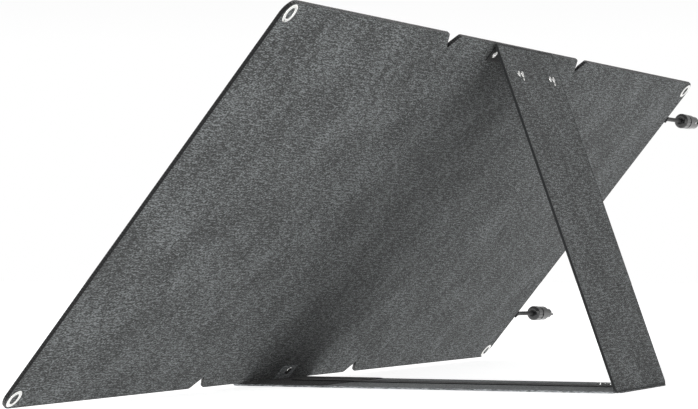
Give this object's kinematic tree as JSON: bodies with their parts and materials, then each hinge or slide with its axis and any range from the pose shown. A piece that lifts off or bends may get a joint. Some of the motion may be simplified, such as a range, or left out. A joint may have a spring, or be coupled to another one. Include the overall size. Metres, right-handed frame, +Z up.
{
  "type": "solar panel",
  "caption": "Fold-out camping solar panel of fabric-backed sections on a strip stand that folds out behind it, with corner eyelets and output leads.",
  "frame": {"origin": "centre of the footprint of the standing panel, without its leads, on the ground", "axes": "+Z up, +X along the row of sections away from the leads, -Y the side that the cells face, +Y the side of the stand's foot"},
  "size_m": [1.4968, 0.4889, 0.4064],
  "materials": {
    "heather_fabric": "heather grey woven polyester, matte",
    "black_webbing": "black woven polyester band, matte",
    "border_fabric": "black coated polyester, low sheen",
    "stiffener": "hard fibre board, matte",
    "back_sheet": "black laminate back sheet",
    "cells": "dark blue-black silicon, smooth",
    "ribbon": "tinned copper ribbon",
    "front_film": "clear embossed front film",
    "nickel": "bright nickel plated",
    "cable_jacket": "black rubber-like jacket, satin",
    "connector_plastic": "black moulded plastic",
    "seal_rubber": "black rubber",
    "tinned_contact": "tinned copper"
  },
  "bodies": {
    "middle_section": {"middle_back_cover": "heather_fabric", "middle_edge_band": "black_webbing", "middle_board": "stiffener", "middle_back_sheet": "back_sheet", "middle_cells": "cells", "middle_ribbons": "ribbon", "middle_front_film": "front_film", "middle_front_border": "border_fabric", "fold_strip_a": "heather_fabric", "fold_strip_b": "heather_fabric", "top_flap": "border_fabric", "top_rivets": "nickel", "bottom_tab": "border_fabric", "bottom_snap": "nickel"},
    "end_section": {"end_back_cover": "heather_fabric", "end_edge_band": "black_webbing", "end_board": "stiffener", "end_back_sheet": "back_sheet", "end_cells": "cells", "end_ribbons": "ribbon", "end_front_film": "front_film", "end_front_border": "border_fabric", "end_eyelets": "nickel"},
    "cable_section": {"cable_back_cover": "heather_fabric", "cable_edge_band": "black_webbing", "cable_board": "stiffener", "cable_back_sheet": "back_sheet", "cable_cells": "cells", "cable_ribbons": "ribbon", "cable_front_film": "front_film", "cable_front_border": "border_fabric", "cable_eyelets": "nickel", "lead_exits": "cable_jacket", "upper_lead": "cable_jacket", "upper_connector_seal": "seal_rubber", "upper_connector_body": "connector_plastic", "upper_connector_contact": "tinned_contact", "lower_lead": "cable_jacket", "lower_connector_seal": "seal_rubber", "lower_connector_body": "connector_plastic", "lower_connector_contact": "tinned_contact"},
    "upper_nut": {"upper_connector_nut": "connector_plastic"},
    "lower_nut": {"lower_connector_nut": "connector_plastic"},
    "leg": {"leg_outer_cover": "heather_fabric", "leg_inner_cover": "heather_fabric", "leg_board": "stiffener", "leg_edge_band": "black_webbing", "leg_studs": "nickel", "leg_pins": "nickel", "foot_fold": "heather_fabric"},
    "base": {"base_lower_cover": "heather_fabric", "base_upper_cover": "heather_fabric", "base_board": "stiffener", "base_edge_band": "black_webbing", "base_flap": "border_fabric", "base_strap": "black_webbing", "foot_snaps": "nickel"}
  },
  "joints": [
    {"name": "end_fold", "type": "hinge", "parent": "middle_section", "child": "end_section", "pos_m": [0.258, -0.23956, 0.00676], "axis": [0, -0.6314, -0.7755], "range_deg": [0, 180]},
    {"name": "cable_fold", "type": "hinge", "parent": "middle_section", "child": "cable_section", "pos_m": [-0.187, -0.24181, 0.00859], "axis": [0, 0.6314, 0.7755], "range_deg": [0, 176]},
    {"name": "leg_hinge", "type": "hinge", "parent": "middle_section", "child": "leg", "pos_m": [0, 0.09266, 0.40025], "axis": [-1, 0, 0], "range_deg": [0, 57.5]},
    {"name": "foot_hinge", "type": "hinge", "parent": "leg", "child": "base", "pos_m": [0, 0.23834, 0.0005], "axis": [1, 0, 0], "range_deg": [0, 287.5]},
    {"name": "upper_nut_turn", "type": "hinge", "parent": "cable_section", "child": "upper_nut", "pos_m": [-0.75511, 0.05298, 0.3541], "axis": [-0.9892, 0.1446, -0.0228], "range_deg": [0, 360]},
    {"name": "lower_nut_turn", "type": "hinge", "parent": "cable_section", "child": "lower_nut", "pos_m": [-0.75111, -0.17842, 0.06792], "axis": [-0.9887, 0.1483, -0.0206], "range_deg": [0, 360]}
  ],
  "couplings": [
    {"joint": "foot_hinge", "follows": "leg_hinge", "ratio": 5}
  ]
}
